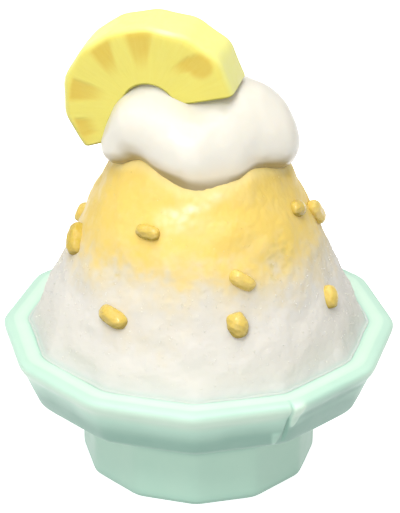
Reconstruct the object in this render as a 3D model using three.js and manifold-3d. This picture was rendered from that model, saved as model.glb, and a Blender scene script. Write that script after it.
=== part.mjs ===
// Shaved ice in a twelve-sided footed bowl, under a cap of soft cream with half a
// pineapple ring standing in it, and golden fruit bits scattered over the ice.
// Millimetres, +Z up. The origin is on the table, under the middle of the foot.

import * as THREE from 'three';
import { mergeVertices } from 'three/addons/utils/BufferGeometryUtils.js';
import { ImprovedNoise } from 'three/addons/math/ImprovedNoise.js';
import Module from 'manifold-3d';

const wasm = await Module();
wasm.setup();

// ---------------------------------------------------------------- dimensions

const GAP = 0.35;                  // room kept between pieces that touch

// The bowl. Every radius runs to the corners of its twelve flats.
const SIDES = 12;
const FOOT_RADIUS = 48.5;
const FOOT_CHAMFER = 1.6;
const FOOT_TOP = 21;
const RECESS_RADIUS = 39.5;        // the hollow under the foot
const RECESS_DEPTH = 18;
const SHOULDER_RADIUS = 58;        // where the underside leaves the foot's fillet
const SHOULDER_HEIGHT = 31.5;
const BAND_LOW_RADIUS = 71.1;      // the thick band below the rim
const BAND_LOW_HEIGHT = 38.4;
const BEVEL_RADIUS = 74.2;         // top of the band's lower bevel
const BEVEL_HEIGHT = 45.2;
const BAND_HIGH_RADIUS = 77.9;
const BAND_HIGH_HEIGHT = 54;
const RIM_CORNER = 83.3;           // control corner that rounds the rim out to 80
const RIM_HEIGHT = 61.2;
const RIM_CROWN_RADIUS = 75;
const MOUTH_RADIUS = 69.7;
const MOUTH_HEIGHT = 60.6;
const WALL_RADIUS = 66.4;          // the inner wall, half way down
const WALL_HEIGHT = 50;
const FLOOR_RADIUS = 44;
const FLOOR_EDGE_HEIGHT = 29.5;
const FLOOR_HEIGHT = 26;

// The ice: radius and height of its slope, from the bowl's mouth to the top.
const SLOPE = [
  [69.0, 61.2], [62.6, 74], [53.0, 94], [44.4, 114], [33.6, 134], [24.5, 144.5], [12.5, 151], [0, 153],
];
const ICE_COLUMNS = 84;            // a multiple of the bowl's sides
const ICE_ROWS = 27;
const ROUND_HEIGHT = 74;           // by here the ice has lost the bowl's flats
const RELIEF_START = 61.5;         // and here its uneven face begins
const RELIEF_FULL = 68;
const CLUMPS = [                   // size and depth of the ice's uneven clumps
  { size: 23, depth: 1.0 }, { size: 12, depth: 1.0 }, { size: 8, depth: 0.6 },
];

// The cream: round lobes run together, the thick lip first.
const LIP_BLEND = 9;               // how softly the lip's lobes run together
const BODY_BLEND = 16;             // and those of the cream's body
const CREAM_CENTRE = [-1, -2, 148];
const CREAM_REACH = 60;
const CREAM_DETAIL = 8;
const LIP = [                      // height and radius of the lip, every 30 degrees from the front
  [144.8, 6.9], [141.2, 3.1], [144.6, 4.6], [135.9, 4.9], [142.7, 7], [141, 6.5],
  [141.5, 6.5], [144, 6.5], [142.1, 6.5], [143.7, 5], [151.3, 4.5], [142.8, 3.5],
];
const LOBES = [
  { at: [1, 2, 145], radius: 16 },            // crown over the top of the ice
  { at: [-14.7, -3.1, 157.3], radius: 10.6 }, // through the ring, its front
  { at: [-15.8, 6, 155], radius: 13 },        // and its back
  { at: [-25.6, -15.2, 153.4], radius: 5.7 }, // left, in front of the ring
  { at: [-31.7, -11.9, 140.4], radius: 3.8 }, // left, its low end
  { at: [23.6, -0.5, 151.1], radius: 11.5 },  // right, the tallest
  { at: [30.5, -9.6, 143.2], radius: 5.6 },   // right, its low end
  { at: [2, -20.9, 131.2], radius: 10.8 },    // front, its low end
  { at: [-8.2, -20.5, 148.2], radius: 7 },    // front
  { at: [-10, 19, 147], radius: 12 },         // back
  { at: [8, 6, 153.5], radius: 10.5 },        // back, under the ring's right end
  { at: [13.9, -6.5, 155.2], radius: 4.5 },   // and its front
  { at: [9.8, -14.4, 147.4], radius: 8.5 },   // front, on the right
];

// Half a pineapple ring, cut straight across, leaning a little forward.
const RING_CORNERS = [             // radius of each knife-cut corner, from its right end over the top
  34.8, 36.8, 35.7, 34.6, 34.5, 35.2, 36.1, 35.4, 34,
];
const RING_INNER = 10.9;
const RING_THICKNESS = 20.5;
const RING_START = 15.2;           // degrees, from its right up over the top
const RING_SWEEP = 199.6;
const RING_CUT_LEAD = 40;          // how much further its inside goes at the left end, which is cut askew
const RING_BEVEL = 1.4;
const RING_FACE = [-19, -11.8, 157.7];  // middle of its front face
const RING_YAW = 14.1;             // degrees, its face turned to the left
const RING_LEAN = 4.2;

// Fruit bits: where each lies on the ice, and its size. turn is how far its
// long side leans from level, in degrees, right end down.
const BITS = [
  { azimuth: -77, height: 101.8, length: 14.4, width: 9.4, turn: 42 },
  { azimuth: -106, height: 102.2, length: 9.6, width: 6.8, turn: 60 },
  { azimuth: -25.6, height: 118, length: 10.2, width: 5.8, turn: 2 },
  { azimuth: 21.1, height: 101.6, length: 11.4, width: 6.2, turn: 38 },
  { azimuth: 16.7, height: 86.6, length: 10.6, width: 8.6, turn: 80 },
  { azimuth: -33.7, height: 85.8, length: 13.6, width: 7.4, turn: 14 },
  { azimuth: 65.4, height: 83.8, length: 10.4, width: 7.6, turn: 116 },
  { azimuth: 69.5, height: 118.2, length: 9.2, width: 7.2, turn: 20 },
  { azimuth: 89.5, height: 109.6, length: 13.6, width: 6.8, turn: 60 },
];
const HIDDEN_BITS = 6;             // more of them, round the back
const HIDDEN_FROM = 126;           // degrees of azimuth
const HIDDEN_TO = 248;
const HIDDEN_LOW = 76;
const HIDDEN_HIGH = 122;
const BIT_SUNK = 0.42;             // share of a bit's width that lies in the ice
const SEED = 20;

// ----------------------------------------------------------------- materials

function finish(color, roughness) {
  return new THREE.MeshStandardMaterial({ color, roughness, metalness: 0 });
}

const CELADON = '#b4d8c6';
const SYRUP_ICE = '#f6e6a6';
const CREAM_WHITE = '#f7f4e6';
const PINEAPPLE = '#eee67e';
const GOLD = '#f0d070';

// ------------------------------------------------------------------- helpers

const radians = THREE.MathUtils.degToRad;
const noise = new ImprovedNoise();

// Numbers from 0 to 1 that come out the same each time.
function seeded(seed) {
  let state = seed;
  return () => {
    state = (state * 1664525 + 1013904223) % 4294967296;
    return state / 4294967296;
  };
}

// A copy whose faces share their corners, so that it closes.
function welded(geometry) {
  const bare = geometry.clone();
  bare.deleteAttribute('normal');
  bare.deleteAttribute('uv');
  return mergeVertices(bare, 1e-4);
}

function solidOf(geometry) {
  const shape = welded(geometry);
  const corners = shape.index.array;
  const kept = [];
  for (let i = 0; i < corners.length; i += 3) {
    const [a, b, c] = corners.slice(i, i + 3);
    if (a !== b && b !== c && c !== a) kept.push(a, b, c);
  }
  return new wasm.Manifold(new wasm.Mesh({
    numProp: 3,
    vertProperties: new Float32Array(shape.attributes.position.array),
    triVerts: new Uint32Array(kept),
  }));
}

function geometryOf(solid) {
  const mesh = solid.getMesh();
  const geometry = new THREE.BufferGeometry();
  geometry.setAttribute('position', new THREE.BufferAttribute(new Float32Array(mesh.vertProperties), 3));
  geometry.setIndex(new THREE.BufferAttribute(new Uint32Array(mesh.triVerts), 1));
  geometry.computeVertexNormals();
  return geometry;
}

// The largest closed piece of a solid, without the scraps that a cut leaves.
function largest(solid) {
  return solid.decompose().reduce((best, piece) => (piece.volume() > best.volume() ? piece : best));
}

function eachPoint(geometry, change) {
  const position = geometry.attributes.position;
  const point = new THREE.Vector3();
  for (let i = 0; i < position.count; i += 1) {
    point.fromBufferAttribute(position, i);
    change(point, i);
    position.setXYZ(i, point.x, point.y, point.z);
  }
}

// ---------------------------------------------------------------------- bowl

// The bowl's hollow, from the middle of its floor up to its mouth.
function hollowPath() {
  const path = new THREE.Path();
  path.moveTo(0, FLOOR_HEIGHT);
  path.quadraticCurveTo(FLOOR_RADIUS * 0.6, FLOOR_HEIGHT, FLOOR_RADIUS, FLOOR_EDGE_HEIGHT);
  path.quadraticCurveTo(WALL_RADIUS - 4, WALL_HEIGHT - 14, WALL_RADIUS, WALL_HEIGHT);
  path.lineTo(MOUTH_RADIUS - 1, MOUTH_HEIGHT - 2.4);
  path.lineTo(MOUTH_RADIUS, MOUTH_HEIGHT);
  return path.getPoints(4);
}

function bowlProfile() {
  const path = new THREE.Path();
  path.moveTo(0, RECESS_DEPTH);
  path.lineTo(RECESS_RADIUS - 5, RECESS_DEPTH);
  path.quadraticCurveTo(RECESS_RADIUS, RECESS_DEPTH, RECESS_RADIUS, RECESS_DEPTH - 5);
  path.lineTo(RECESS_RADIUS + 1, 1);
  path.lineTo(RECESS_RADIUS + 2, 0);
  path.lineTo(FOOT_RADIUS - FOOT_CHAMFER, 0);
  path.lineTo(FOOT_RADIUS, FOOT_CHAMFER);
  path.lineTo(FOOT_RADIUS, FOOT_TOP);
  path.quadraticCurveTo(FOOT_RADIUS, SHOULDER_HEIGHT - 4, SHOULDER_RADIUS, SHOULDER_HEIGHT);
  path.lineTo(BAND_LOW_RADIUS, BAND_LOW_HEIGHT);
  path.lineTo(BEVEL_RADIUS, BEVEL_HEIGHT);
  path.lineTo(BAND_HIGH_RADIUS, BAND_HIGH_HEIGHT);
  path.quadraticCurveTo(RIM_CORNER, RIM_HEIGHT, RIM_CROWN_RADIUS, RIM_HEIGHT);
  return [...path.getPoints(5), ...hollowPath().reverse()];
}

function bowlGeometry() {
  const geometry = new THREE.LatheGeometry(bowlProfile(), SIDES);
  geometry.rotateX(Math.PI / 2);
  return geometry;
}

// ----------------------------------------------------------------------- ice

// How far the flats of the bowl draw a corner radius in, at a point.
function flatShare(point) {
  const side = (2 * Math.PI) / SIDES;
  const turn = Math.atan2(point.x, -point.y);
  const offCorner = turn - side * Math.floor(turn / side) - side / 2;
  return Math.cos(side / 2) / Math.cos(offCorner);
}

function iceProfile() {
  const inBowl = hollowPath().map((p) => new THREE.Vector2(Math.max(0, p.x - GAP), p.y + GAP));
  const slope = new THREE.SplineCurve(SLOPE.map(([radius, height]) => new THREE.Vector2(radius, height)));
  const rows = slope.getSpacedPoints(ICE_ROWS);
  rows[ICE_ROWS].x = 0;
  return [...inBowl, ...rows];
}

function clumpHeight(point) {
  let height = 0;
  for (const { size, depth } of CLUMPS) {
    height += depth * noise.noise(point.x / size + size, point.y / size, point.z / size);
  }
  return height;
}

// The ice, filling the bowl and heaped above it. growth adds to its surface.
function iceGeometry(growth) {
  const lathe = new THREE.LatheGeometry(iceProfile(), ICE_COLUMNS);
  lathe.rotateX(Math.PI / 2);
  const geometry = welded(lathe);
  eachPoint(geometry, (point) => {
    const flatness = 1 - THREE.MathUtils.smoothstep(point.z, MOUTH_HEIGHT, ROUND_HEIGHT);
    const share = THREE.MathUtils.lerp(1, flatShare(point), flatness);
    point.x *= share;
    point.y *= share;
  });
  geometry.computeVertexNormals();
  const normal = new THREE.Vector3();
  eachPoint(geometry, (point, i) => {
    normal.fromBufferAttribute(geometry.attributes.normal, i);
    const relief = clumpHeight(point) * THREE.MathUtils.smoothstep(point.z, RELIEF_START, RELIEF_FULL);
    point.addScaledVector(normal, relief + growth);
  });
  return geometry;
}

// --------------------------------------------------------------------- cream

// Radius of the ice's slope at a height.
function slopeRadius(height) {
  const above = SLOPE.findIndex((row) => row[1] >= height);
  const [upperRadius, upperHeight] = SLOPE[above];
  const [lowerRadius, lowerHeight] = SLOPE[above - 1];
  return THREE.MathUtils.mapLinear(height, lowerHeight, upperHeight, lowerRadius, upperRadius);
}

function creamLobes() {
  const step = (2 * Math.PI) / LIP.length;
  const lip = LIP.map(([height, radius], i) => {
    const out = slopeRadius(height);
    return { at: [out * Math.sin(i * step), -out * Math.cos(i * step), height], radius, blend: LIP_BLEND };
  });
  const body = LOBES.map((lobe) => ({ ...lobe, blend: BODY_BLEND }));
  return [...lip, ...body].map(({ at, radius, blend }) => ({ centre: new THREE.Vector3(...at), radius, blend }));
}

function creamDistance(lobes, point) {
  let distance = Infinity;
  for (const { centre, radius, blend } of lobes) {
    const next = point.distanceTo(centre) - radius;
    const overlap = Math.max(0, 1 - Math.abs(distance - next) / blend);
    distance = Math.min(distance, next) - (overlap * overlap * blend) / 4;
  }
  return distance;
}

function creamGeometry() {
  const lobes = creamLobes();
  const centre = new THREE.Vector3(...CREAM_CENTRE);
  const geometry = welded(new THREE.IcosahedronGeometry(1, CREAM_DETAIL));
  const probe = new THREE.Vector3();
  eachPoint(geometry, (point) => {
    const way = point.clone().normalize();
    let outside = CREAM_REACH;
    let inside = 0;
    while (outside > 1 && creamDistance(lobes, probe.copy(centre).addScaledVector(way, outside)) > 0) outside -= 1;
    inside = outside;
    outside += 1;
    for (let halving = 0; halving < 12; halving += 1) {
      const middle = (inside + outside) / 2;
      if (creamDistance(lobes, probe.copy(centre).addScaledVector(way, middle)) > 0) outside = middle;
      else inside = middle;
    }
    point.copy(centre).addScaledVector(way, inside);
  });
  return geometry;
}

// ----------------------------------------------------------------- pineapple

const ringPlace = new THREE.Object3D();
ringPlace.position.set(...RING_FACE);
ringPlace.rotation.set(Math.PI / 2 + radians(RING_LEAN), 0, -radians(RING_YAW), 'ZYX');
ringPlace.updateMatrix();

// The half ring with its front face at z = 0. growth adds to it all round.
function ringGeometry(growth) {
  const start = radians(RING_START);
  const arc = (radii, sweep) => radii.map((radius, i) => {
    const turn = start + (radians(sweep) * i) / (radii.length - 1);
    return new THREE.Vector2(radius * Math.cos(turn), radius * Math.sin(turn));
  });
  const outer = arc(RING_CORNERS, RING_SWEEP);
  const inner = arc(RING_CORNERS.map(() => RING_INNER), RING_SWEEP + RING_CUT_LEAD).reverse();
  const geometry = new THREE.ExtrudeGeometry(new THREE.Shape([...outer, ...inner]), {
    depth: RING_THICKNESS - 2 * RING_BEVEL,
    bevelThickness: RING_BEVEL + growth,
    bevelSize: RING_BEVEL,
    bevelOffset: growth - RING_BEVEL,
    bevelSegments: 2,
  });
  geometry.translate(0, 0, RING_BEVEL - RING_THICKNESS);
  return geometry;
}

// ---------------------------------------------------------------- fruit bits

function allBits() {
  const random = seeded(SEED);
  const hidden = Array.from({ length: HIDDEN_BITS }, (_, i) => ({
    azimuth: THREE.MathUtils.lerp(HIDDEN_FROM, HIDDEN_TO, (i + 0.6 * random()) / (HIDDEN_BITS - 0.4)),
    height: THREE.MathUtils.lerp(HIDDEN_LOW, HIDDEN_HIGH, ((i * 0.618) % 1) * 0.85 + 0.15 * random()),
    length: 9 + 4 * random(),
    width: 6 + 1.8 * random(),
    turn: 180 * random(),
  }));
  return [...BITS, ...hidden];
}

// A blunt nugget along X, a little crooked. growth adds to it all round.
function bitGeometry(bit, growth) {
  const radius = bit.width / 2;
  const geometry = welded(new THREE.CapsuleGeometry(radius, bit.length - bit.width, 2, 8));
  geometry.rotateZ(Math.PI / 2);
  eachPoint(geometry, (point) => {
    const swell = 0.12 * noise.noise(point.x / 5 + bit.azimuth, point.y / 4, point.z / 4 + bit.height);
    point.multiplyScalar(1 + swell + growth / radius);
  });
  return geometry;
}

// Where a bit lies: its long side along the ice, part of it sunk in.
function placeBit(object, bit) {
  const azimuth = radians(bit.azimuth);
  const rise = slopeRadius(bit.height + 1) - slopeRadius(bit.height - 1);
  const outward = new THREE.Vector3(Math.sin(azimuth), -Math.cos(azimuth), -rise / 2).normalize();
  const level = new THREE.Vector3(Math.cos(azimuth), Math.sin(azimuth), 0);
  const uphill = new THREE.Vector3().crossVectors(outward, level);
  const turn = radians(bit.turn);
  const along = level.clone().multiplyScalar(Math.cos(turn)).addScaledVector(uphill, -Math.sin(turn));
  const across = new THREE.Vector3().crossVectors(outward, along);
  object.quaternion.setFromRotationMatrix(new THREE.Matrix4().makeBasis(along, across, outward));
  const radius = slopeRadius(bit.height);
  object.position.set(radius * Math.sin(azimuth), -radius * Math.cos(azimuth), bit.height);
  object.position.addScaledVector(outward, clumpHeight(object.position) + bit.width * (0.5 - BIT_SUNK));
  object.updateMatrix();
  return object;
}

// ------------------------------------------------------------------ assembly

const group = new THREE.Group();

function add(name, geometry, material) {
  const mesh = new THREE.Mesh(geometry, material);
  mesh.name = name;
  group.add(mesh);
  return mesh;
}

add('bowl', geometryOf(solidOf(bowlGeometry())), finish(CELADON, 0.3));

const bits = allBits();
let ice = solidOf(iceGeometry(0));
bits.forEach((bit, i) => {
  const name = `fruit_bit_${String(i + 1).padStart(2, '0')}`;
  placeBit(add(name, geometryOf(solidOf(bitGeometry(bit, 0))), finish(GOLD, 0.35)), bit);
  const socket = bitGeometry(bit, GAP);
  socket.applyMatrix4(placeBit(new THREE.Object3D(), bit).matrix);
  ice = ice.subtract(solidOf(socket));
});
add('shaved_ice', geometryOf(ice), finish(SYRUP_ICE, 0.6));

const slot = ringGeometry(GAP);
slot.applyMatrix4(ringPlace.matrix);
const cream = solidOf(creamGeometry()).subtract(solidOf(iceGeometry(GAP))).subtract(solidOf(slot));
add('cream_topping', geometryOf(largest(cream)), finish(CREAM_WHITE, 0.35));

const ring = add('pineapple_ring', geometryOf(solidOf(ringGeometry(0))), finish(PINEAPPLE, 0.45));
ring.position.copy(ringPlace.position);
ring.quaternion.copy(ringPlace.quaternion);

export default group;
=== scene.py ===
"""Shaved ice in a twelve-sided celadon bowl, with syrup, soft cream, half a pineapple ring and fruit bits."""

import itertools
import math

import bmesh
import bpy
import numpy as np
from mathutils import Matrix, Vector
from mathutils.bvhtree import BVHTree


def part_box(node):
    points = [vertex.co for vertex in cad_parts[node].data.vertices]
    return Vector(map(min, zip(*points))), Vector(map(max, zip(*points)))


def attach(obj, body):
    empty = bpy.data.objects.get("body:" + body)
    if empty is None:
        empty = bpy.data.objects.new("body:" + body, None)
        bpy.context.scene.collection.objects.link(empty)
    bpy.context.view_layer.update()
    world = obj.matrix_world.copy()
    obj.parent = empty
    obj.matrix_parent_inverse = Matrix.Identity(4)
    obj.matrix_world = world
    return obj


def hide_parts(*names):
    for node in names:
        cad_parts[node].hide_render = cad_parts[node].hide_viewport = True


bl_info = {
    "name": "Shaved Ice Dessert",
    "version": (1, 0, 0),
    "blender": (4, 5, 0),
    "location": "View3D > Sidebar > Dessert",
    "description": "Builds a bowl of shaved ice with its toppings around a fixed model",
    "category": "Object",
}

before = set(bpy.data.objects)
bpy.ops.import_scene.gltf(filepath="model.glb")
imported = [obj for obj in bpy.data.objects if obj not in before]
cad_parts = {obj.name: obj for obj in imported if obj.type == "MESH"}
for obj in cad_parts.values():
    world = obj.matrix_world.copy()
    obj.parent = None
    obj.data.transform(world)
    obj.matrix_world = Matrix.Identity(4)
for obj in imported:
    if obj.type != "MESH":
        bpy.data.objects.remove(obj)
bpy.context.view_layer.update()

MM = 0.001
SIDES = 12
BIT_NODES = sorted(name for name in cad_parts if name.startswith("fruit_bit"))


# ------------------------------------------------------------------ settings

class BowlSettings(bpy.types.PropertyGroup):
    corner_sharpness: bpy.props.FloatProperty(
        name="Corner sharpness", default=90.0, min=20.0,
        description="How crisp the upright corners between the bowl's flats are")
    waviness: bpy.props.FloatProperty(
        name="Waviness", default=0.00018, unit="LENGTH",
        description="Height of the slow unevenness of the glazed surface")
    glaze: bpy.props.FloatVectorProperty(
        name="Glaze", subtype="COLOR", size=3, default=(0.45, 0.70, 0.57),
        description="Colour of the glaze where it lies thick")
    # Also the colour of the painted shade at the band's bottom, the foot's top and the rim's inner edge.
    shaded_pooled_glaze: bpy.props.FloatVectorProperty(
        name="Pooled glaze", subtype="COLOR", size=3, default=(0.22, 0.415, 0.33),
        description="Colour of the glaze where it has gathered below the band and in the crease")
    # Also the colour of the painted light on the rim and the top of the band.
    thin_glaze: bpy.props.FloatVectorProperty(
        name="Thin glaze", subtype="COLOR", size=3, default=(0.685, 0.885, 0.725),
        description="Colour of the glaze where it has run thin over corners and edges")


class IceSettings(bpy.types.PropertyGroup):
    clump_depth: bpy.props.FloatProperty(
        name="Clump depth", default=0.00022, unit="LENGTH",
        description="Depth of the small clumps in the ice's face")
    grain_depth: bpy.props.FloatProperty(
        name="Grain depth", default=0.00007, unit="LENGTH",
        description="Depth of the grain in the ice's face")
    flake_size: bpy.props.FloatProperty(
        name="Flake size", default=0.0007, unit="LENGTH",
        description="Mean length of the loose flakes on the ice")
    flake_density: bpy.props.FloatProperty(
        name="Flake density", default=80000.0,
        description="Loose flakes for each square metre of bare ice")
    syrup_height: bpy.props.FloatProperty(
        name="Syrup height", default=0.1, unit="LENGTH",
        description="Height above the table at which the syrup has half faded")
    snow: bpy.props.FloatVectorProperty(
        name="Snow", subtype="COLOR", size=3, default=(0.745, 0.718, 0.65),
        description="Colour of the bare ice")
    thin_syrup: bpy.props.FloatVectorProperty(
        name="Thin syrup", subtype="COLOR", size=3, default=(0.775, 0.657, 0.40),
        description="Colour of the ice where the syrup fades out")
    syrup: bpy.props.FloatVectorProperty(
        name="Syrup", subtype="COLOR", size=3, default=(0.87, 0.634, 0.152),
        description="Colour of the ice where the syrup has soaked in")


class CreamSettings(bpy.types.PropertyGroup):
    lip_blend: bpy.props.FloatProperty(
        name="Lip blend", default=0.009, unit="LENGTH",
        description="How softly one lobe of the drooping lip runs into the next")
    body_blend: bpy.props.FloatProperty(
        name="Body blend", default=0.016, unit="LENGTH",
        description="How softly one lobe of the cream's body runs into the next")
    colour: bpy.props.FloatVectorProperty(
        name="Cream", subtype="COLOR", size=3, default=(0.79, 0.76, 0.67),
        description="Colour of the cream")


class PineappleSettings(bpy.types.PropertyGroup):
    front_edge: bpy.props.FloatProperty(
        name="Front edge rounding", default=0.0034, unit="LENGTH",
        description="Radius of the rounded edge between the front face and the outside")
    other_edges: bpy.props.FloatProperty(
        name="Other edge rounding", default=0.0012, unit="LENGTH",
        description="Radius of the ring's other edges")
    fibre_depth: bpy.props.FloatProperty(
        name="Fibre depth", default=0.00006, unit="LENGTH",
        description="Depth of the fibres that run outwards over the cut faces")
    flesh: bpy.props.FloatVectorProperty(
        name="Flesh", subtype="COLOR", size=3, default=(0.80, 0.71, 0.14),
        description="Colour of the flesh")
    wedge: bpy.props.FloatVectorProperty(
        name="Wedge", subtype="COLOR", size=3, default=(0.72, 0.53, 0.07),
        description="Colour of the ripe wedges in the flesh")


class BitSettings(bpy.types.PropertyGroup):
    colour: bpy.props.FloatVectorProperty(
        name="Fruit bit", subtype="COLOR", size=3, default=(0.80, 0.60, 0.155),
        description="Colour of the fruit bits")
    # Also stands for painted shade on the bits that lie in shade.
    ripe: bpy.props.FloatVectorProperty(
        name="Ripe fruit", subtype="COLOR", size=3, default=(0.60, 0.43, 0.06),
        description="Colour of the ripest fruit bits")
    # Also the colour of the painted shade on the bits' undersides.
    soaked: bpy.props.FloatVectorProperty(
        name="Soaked fruit", subtype="COLOR", size=3, default=(0.36, 0.25, 0.02),
        description="Colour of a fruit bit's underside, where the syrup has soaked in")
    edge: bpy.props.FloatProperty(
        name="Edge rounding", default=0.0009, unit="LENGTH",
        description="Width of the rounded edges between a fruit bit's cut sides")
    unevenness: bpy.props.FloatProperty(
        name="Unevenness", default=0.00022, unit="LENGTH",
        description="Depth of the dents in each fruit bit")


class StageSettings(bpy.types.PropertyGroup):
    azimuth: bpy.props.FloatProperty(
        name="Azimuth", default=math.radians(1.3), subtype="ANGLE",
        description="Direction of the camera round the bowl, from the front")
    elevation: bpy.props.FloatProperty(
        name="Elevation", default=math.radians(26.19), subtype="ANGLE",
        description="Angle of the camera above the table")
    distance: bpy.props.FloatProperty(
        name="Distance", default=0.8649, unit="LENGTH",
        description="Distance of the camera from the point that it looks at")
    lens: bpy.props.FloatProperty(
        name="Lens", default=149.0, unit="CAMERA",
        description="Focal length on a sensor 36 mm high")
    key_power: bpy.props.FloatProperty(
        name="Key light", default=5.0, unit="POWER",
        description="Power of the soft light from above the camera")
    fill_power: bpy.props.FloatProperty(
        name="Fill light", default=5.6, unit="POWER",
        description="Power of the wide soft light from in front")
    side_power: bpy.props.FloatProperty(
        name="Side light", default=0.7, unit="POWER",
        description="Power of the soft light from the left")
    top_power: bpy.props.FloatProperty(
        name="Top light", default=13.3, unit="POWER",
        description="Power of the wide light overhead")
    floor_glow: bpy.props.FloatProperty(
        name="Floor glow", default=0.8,
        description="Strength of the light that comes up through the pale floor")
    sky: bpy.props.FloatProperty(
        name="Sky", default=0.5,
        description="Strength of the even light from all round")


# ------------------------------------------------------------- shape helpers

def smoothstep(low, high, value):
    """Rises softly from 0 where the value is low to 1 where it is high."""
    share = np.clip((value - low) / (high - low), 0.0, 1.0)
    return share * share * (3.0 - 2.0 * share)


def rising(span, lengths):
    """Rises softly from 0 to 1 over a span in millimetres, for lengths in metres."""
    return smoothstep(span[0] * MM, span[1] * MM, lengths)


def bumps(points, size, seed):
    """Smooth noise between about -1 and 1, with bumps of the given size, for an array of points."""
    random = np.random.default_rng(seed)
    order = random.permutation(256)
    slopes = random.normal(size=(256, 3))
    slopes /= np.linalg.norm(slopes, axis=1)[:, None]
    scaled = points / size
    cell = np.floor(scaled).astype(int)
    part = scaled - cell
    fade = part ** 3 * (part * (part * 6.0 - 15.0) + 10.0)
    total = np.zeros(len(points))
    for corner in itertools.product((0, 1), repeat=3):
        step = cell + corner
        pick = order[(order[(order[step[:, 0] % 256] + step[:, 1]) % 256] + step[:, 2]) % 256]
        share = np.where(corner, fade, 1.0 - fade).prod(axis=1)
        total += share * ((part - corner) * slopes[pick]).sum(axis=1)
    return total * 1.6


def spline(points, count):
    """Evenly spaced points of a smooth curve through the given points."""
    knots = np.array(points, float)
    ends = np.vstack([2 * knots[0] - knots[1], knots, 2 * knots[-1] - knots[-2]])
    dense = []
    for i in range(len(knots) - 1):
        a, b, c, d = ends[i:i + 4]
        t = np.linspace(0.0, 1.0, 60, endpoint=False)[:, None]
        dense.append(0.5 * (2 * b + (c - a) * t + (2 * a - 5 * b + 4 * c - d) * t ** 2
                            + (3 * b - a - 3 * c + d) * t ** 3))
    dense = np.vstack([*dense, knots[-1:]])
    run = np.concatenate([[0.0], np.cumsum(np.linalg.norm(np.diff(dense, axis=0), axis=1))])
    stations = np.linspace(0.0, run[-1], count)
    return np.stack([np.interp(stations, run, dense[:, k]) for k in range(dense.shape[1])], axis=1)


def add_object(name, data):
    made = bpy.data.objects.new(name, data)
    bpy.context.scene.collection.objects.link(made)
    return made


def shade_smooth(mesh):
    mesh.polygons.foreach_set("use_smooth", np.ones(len(mesh.polygons), bool))


def tube(name, loops, first, last):
    """A closed mesh from loops of points, shut by a fan to the first and to the last point."""
    rows, columns = loops.shape[:2]
    points = np.vstack([loops.reshape(-1, 3), first, last])
    index = np.arange(rows * columns).reshape(rows, columns)
    onward = np.roll(index, -1, axis=1)
    quads = np.stack([index[:-1], onward[:-1], onward[1:], index[1:]], axis=-1).reshape(-1, 4)
    start = np.stack([onward[0], index[0], np.full(columns, rows * columns)], axis=1)
    finish = np.stack([index[-1], onward[-1], np.full(columns, rows * columns + 1)], axis=1)
    a, b, c, d = (points[quads[:, k]] for k in range(4))
    volume = (np.cross(a, b) * c).sum() + (np.cross(a, c) * d).sum()
    if volume < 0:
        quads, start, finish = quads[:, ::-1], start[:, ::-1], finish[:, ::-1]
    mesh = bpy.data.meshes.new(name)
    mesh.from_pydata(points.tolist(), [], [*quads.tolist(), *start.tolist(), *finish.tolist()])
    shade_smooth(mesh)
    return add_object(name, mesh)


def turned(radius, heights, turns):
    """Loops round the middle, in metres, from rows of radii and one height for each row."""
    height = np.broadcast_to(heights, radius.shape)
    return np.stack([radius * np.sin(turns), -radius * np.cos(turns), height], axis=-1) * MM


def on_axis(height):
    """The one point on the middle axis at this height."""
    return np.array([[0.0, 0.0, height * MM]])


def turns_of(points):
    """Directions of points round the middle, in degrees from the front."""
    return np.degrees(np.arctan2(points[:, 0], -points[:, 1]))


def corners_of(mesh):
    points = np.empty(len(mesh.vertices) * 3)
    mesh.vertices.foreach_get("co", points)
    return points.reshape(-1, 3)


def normals_of(mesh):
    normals = np.empty(len(mesh.vertices) * 3)
    mesh.vertex_normals.foreach_get("vector", normals)
    return normals.reshape(-1, 3)


def move_corners(mesh, points):
    mesh.vertices.foreach_set("co", np.asarray(points, float).ravel())
    mesh.update()


def paint(mesh, name, values):
    """Keeps one value for each corner of a mesh, which its material reads."""
    attribute = mesh.attributes.new(name, "FLOAT", "POINT")
    attribute.data.foreach_set("value", np.asarray(values, np.float32))


def hand_over(piece, material, slot, *nodes):
    """Dresses a finished piece and puts it in the place of its nodes."""
    piece.data.materials.clear()
    piece.data.materials.append(material)
    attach(piece, "root")
    if nodes:
        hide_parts(*nodes)
    return piece


def merged_copy(node):
    """A copy of a node's mesh in which neighbouring faces share their corners."""
    shape = bmesh.new()
    shape.from_mesh(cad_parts[node].data)
    bmesh.ops.remove_doubles(shape, verts=shape.verts, dist=1e-6)
    return shape


def finished_mesh(piece):
    """The mesh that a piece's modifiers make of it."""
    return bpy.data.meshes.new_from_object(piece.evaluated_get(bpy.context.evaluated_depsgraph_get()))


# ---------------------------------------------------------- material helpers

def link(tree, socket, value):
    """Puts a value on a socket, or joins another node's output to it."""
    if isinstance(value, bpy.types.NodeSocket):
        tree.links.new(value, socket)
    elif hasattr(value, "__len__") and socket.type == "RGBA" and len(value) == 3:
        socket.default_value = (*value, 1.0)
    else:
        socket.default_value = value


def node(tree, kind, inputs=None, **settings):
    made = tree.nodes.new(kind)
    for name, value in settings.items():
        setattr(made, name, value)
    for name, value in (inputs or {}).items():
        link(tree, made.inputs[name], value)
    return made


def math_node(tree, operation, first, second=0.0, clamp=False):
    made = node(tree, "ShaderNodeMath", {0: first, 1: second}, operation=operation, use_clamp=clamp)
    return made.outputs[0]


def mix_colour(tree, share, first, second):
    made = node(tree, "ShaderNodeMix", {"Factor": share}, data_type="RGBA")
    link(tree, made.inputs[6], first)
    link(tree, made.inputs[7], second)
    return made.outputs[2]


def spread(tree, value, low, high, to_low=0.0, to_high=1.0):
    made = node(tree, "ShaderNodeMapRange", {
        "Value": value, "From Min": low, "From Max": high, "To Min": to_low, "To Max": to_high,
    }, interpolation_type="SMOOTHSTEP")
    return made.outputs[0]


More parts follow.
